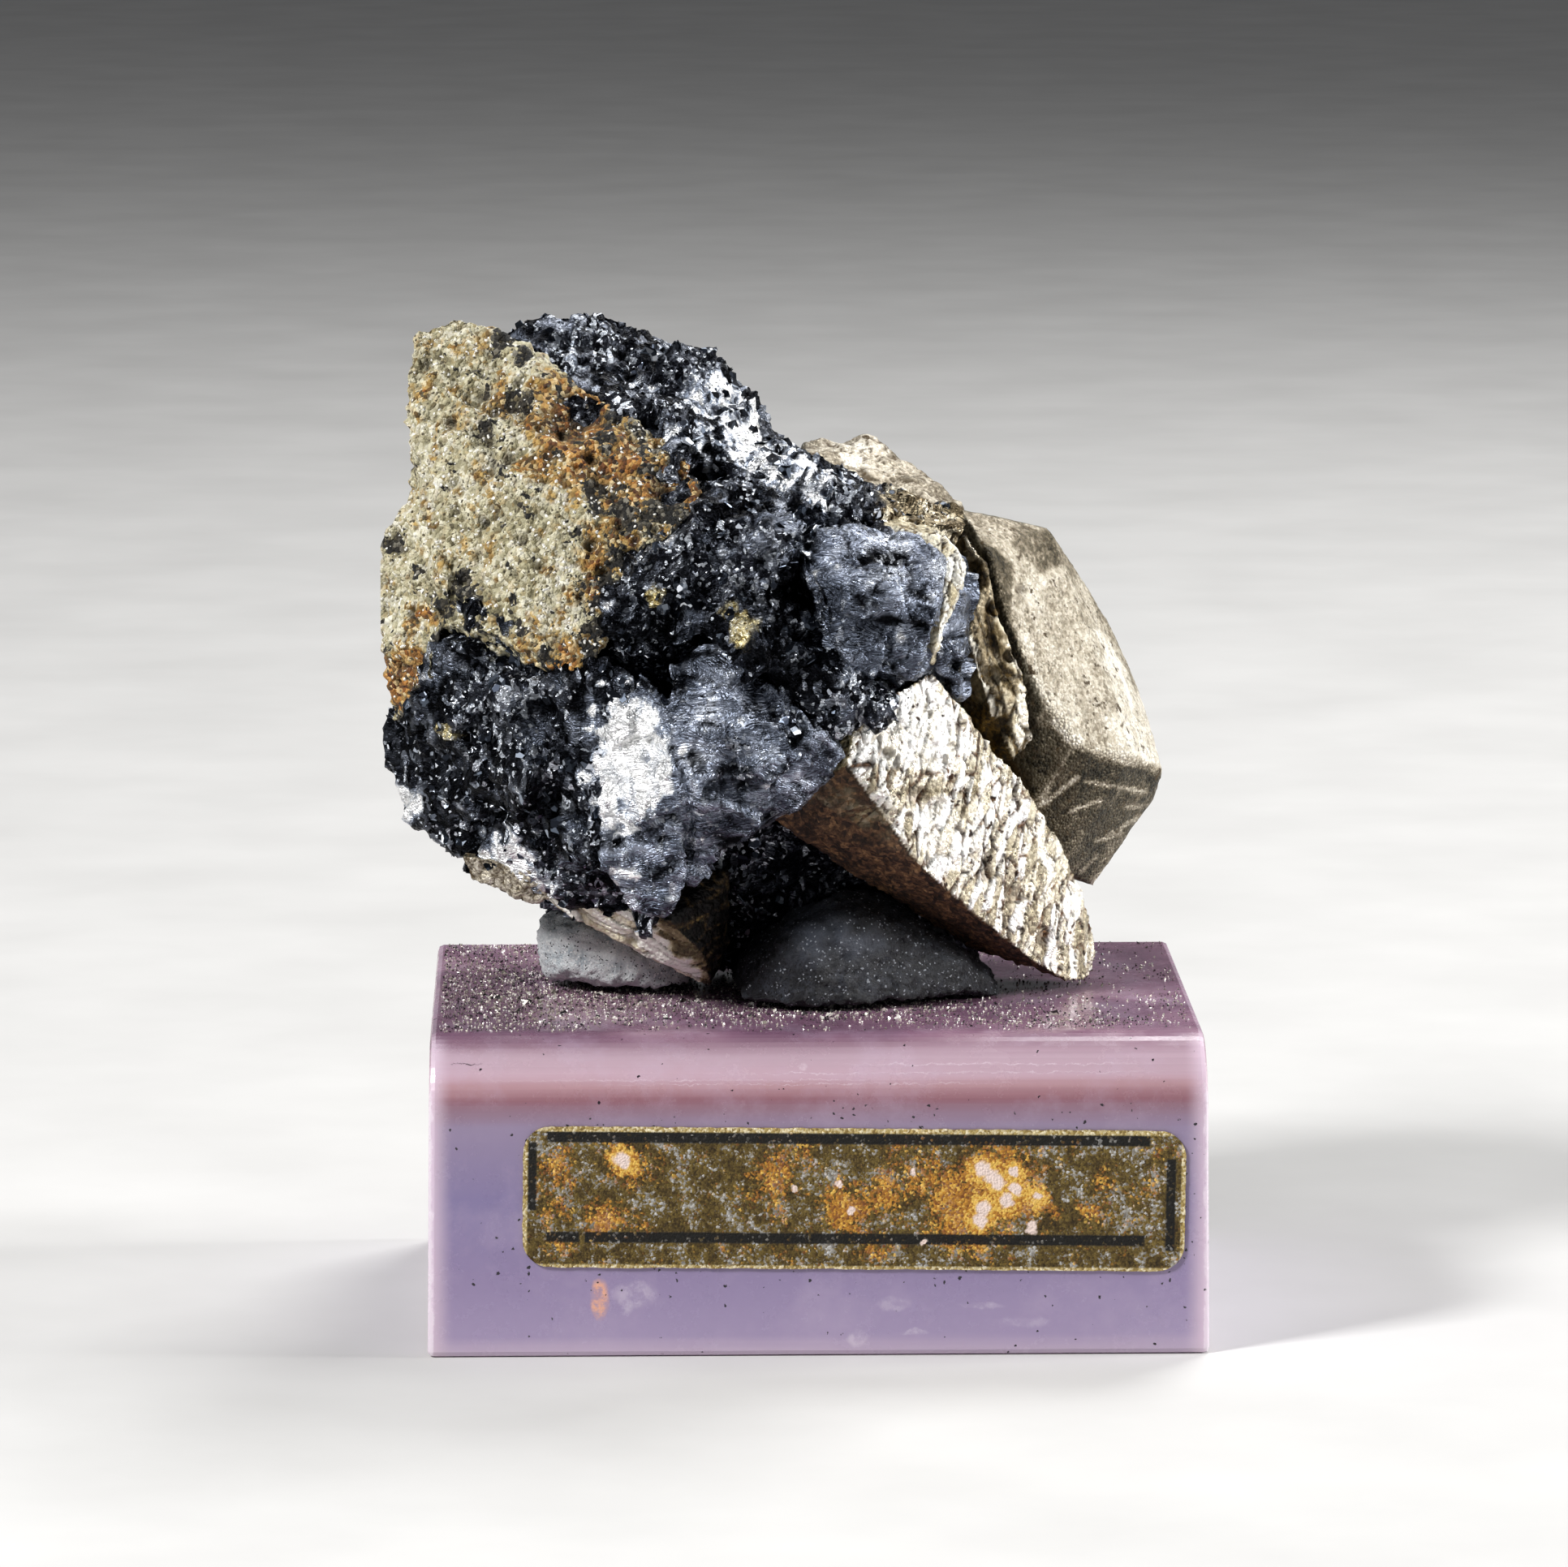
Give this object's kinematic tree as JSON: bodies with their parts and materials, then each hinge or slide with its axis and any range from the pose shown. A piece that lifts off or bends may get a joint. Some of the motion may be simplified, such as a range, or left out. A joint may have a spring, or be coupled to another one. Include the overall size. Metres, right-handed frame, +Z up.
{
  "type": "pyrite cluster specimen",
  "caption": "Pyrite cluster grown with iron-black ore and ochre crust, set in mounting putty on a lilac display block with an aged gold foil label.",
  "frame": {"origin": "centre of the display block's underside", "axes": "+Z up, -Y towards the viewer of the labelled face, +X to that viewer's right"},
  "size_m": [0.0425, 0.0324, 0.0517],
  "materials": {
    "mineral": "metallic crystal faces, glittering black ore and granular ochre crust",
    "block": "cloudy lilac acrylic, glossy with fine scratches",
    "foil": "aged gold foil, mottled with corrosion",
    "putty": "blue-grey mounting putty with mineral dust stuck to it"
  },
  "bodies": {
    "root": {"specimen": "mineral", "block": "block", "label": "foil", "putty_left": "putty", "putty_right": "putty"}
  },
  "joints": []
}
